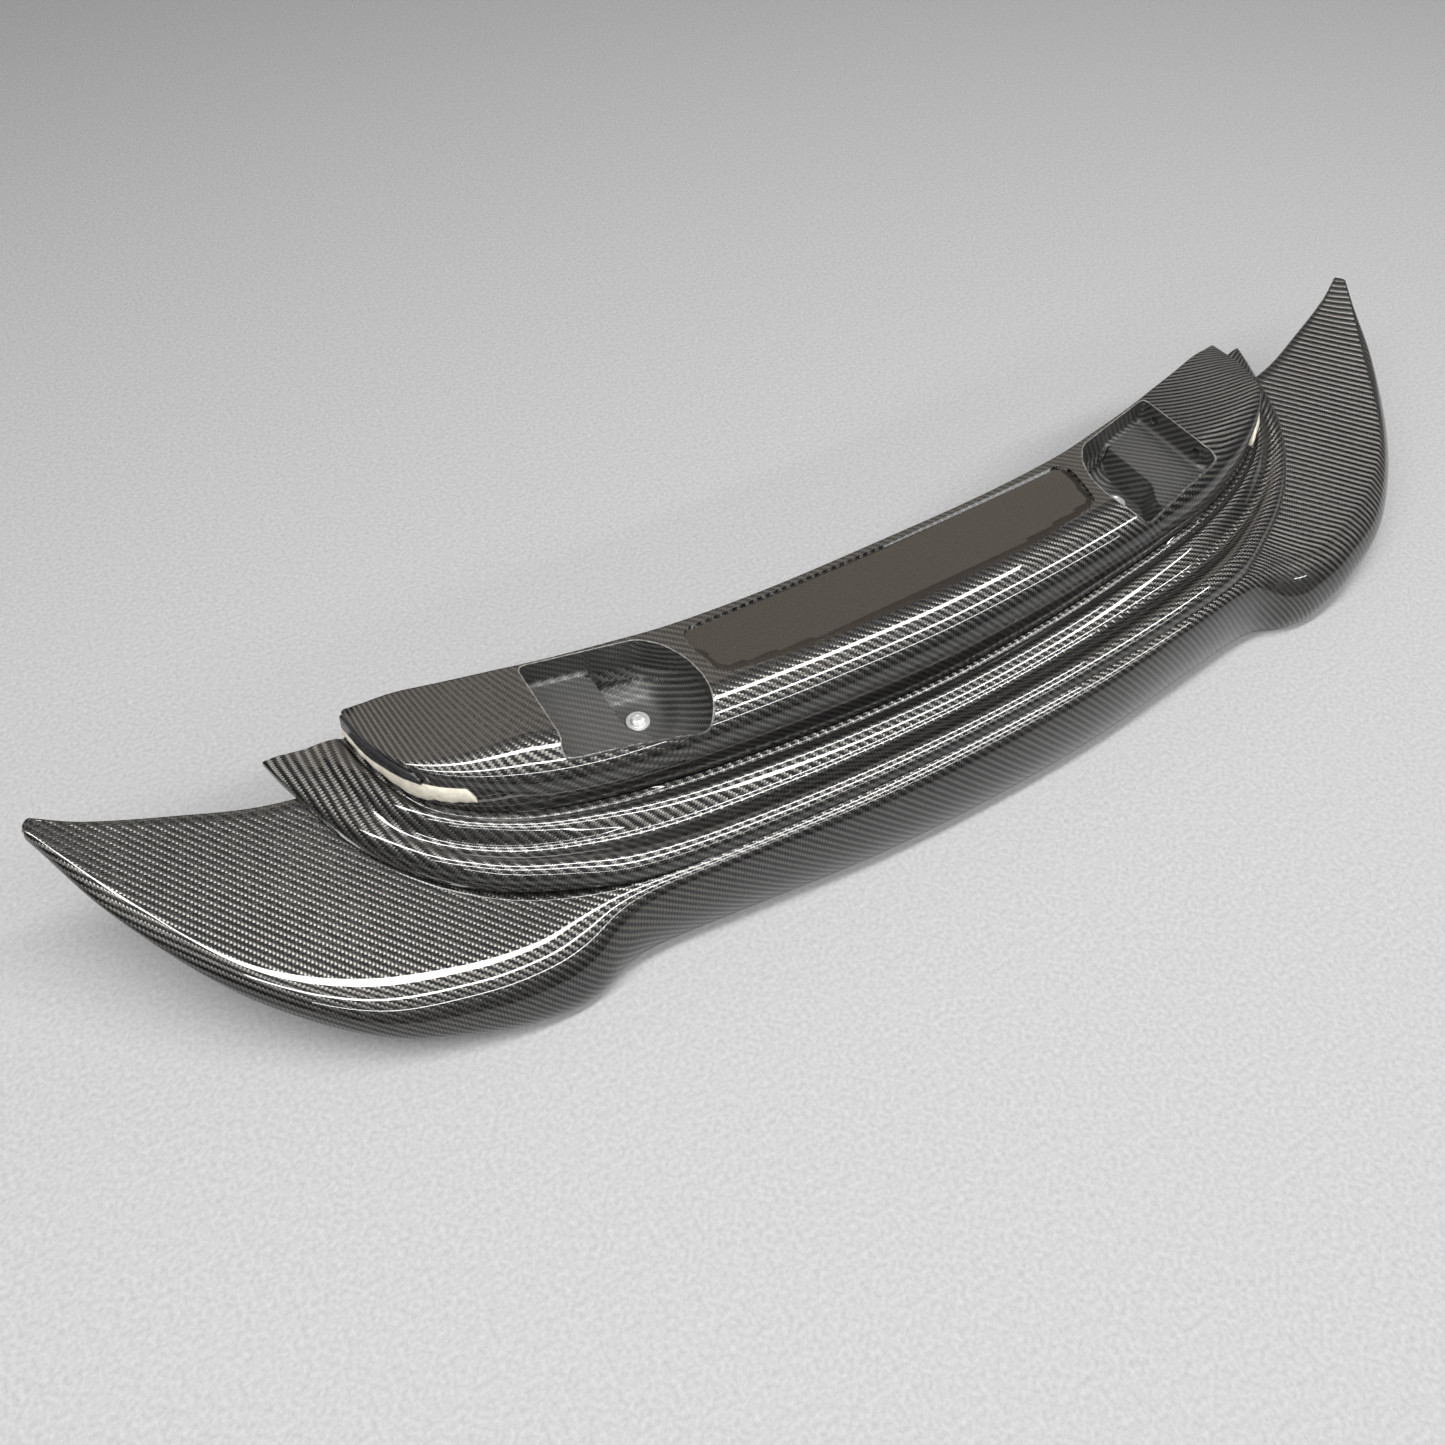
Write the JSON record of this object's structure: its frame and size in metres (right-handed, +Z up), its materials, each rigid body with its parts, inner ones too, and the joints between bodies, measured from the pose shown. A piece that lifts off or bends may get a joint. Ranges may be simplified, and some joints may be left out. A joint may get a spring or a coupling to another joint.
{
  "type": "rear wing",
  "caption": "Carbon-fibre rear wing with a crescent blade, a stepped fairing and a mounting tub with wells for the struts, lying mounting side up.",
  "frame": {"origin": "middle of the footprint, on the surface that the wing lies on", "axes": "+X along the span, +Y towards the edge that meets the car, +Z up with the mounting side on top"},
  "size_m": [1.4204, 0.3045, 0.1604],
  "materials": {
    "glossy_carbon": "glossy clear-coated twill",
    "matt_carbon": "matt moulded twill",
    "panel_carbon": "high-gloss fine plain weave",
    "foam": "matt structural foam",
    "plywood": "sanded birch plywood",
    "aluminium": "milled",
    "zinc_steel": "bright zinc plated",
    "black_seal": "smooth glossy rubber",
    "adhesive": "cured adhesive"
  },
  "bodies": {
    "root": {"blade_outer_skin": "glossy_carbon", "blade_inner_skin": "glossy_carbon", "step_fairing": "glossy_carbon", "mounting_tub": "glossy_carbon", "centre_panel": "panel_carbon", "left_well_liner": "matt_carbon", "right_well_liner": "matt_carbon", "left_edge_seal": "black_seal", "right_edge_seal": "black_seal", "left_bond_bead": "adhesive", "right_bond_bead": "adhesive", "centre_foam_core": "foam", "left_lobe_core": "foam", "right_lobe_core": "foam", "left_rib": "plywood", "right_rib": "plywood", "left_side_plate": "aluminium", "right_side_plate": "aluminium", "left_floor_plate": "aluminium", "right_floor_plate": "aluminium", "left_pocket_bolt": "zinc_steel", "right_pocket_bolt": "zinc_steel", "left_bolt_washer": "zinc_steel", "right_bolt_washer": "zinc_steel"}
  },
  "joints": []
}
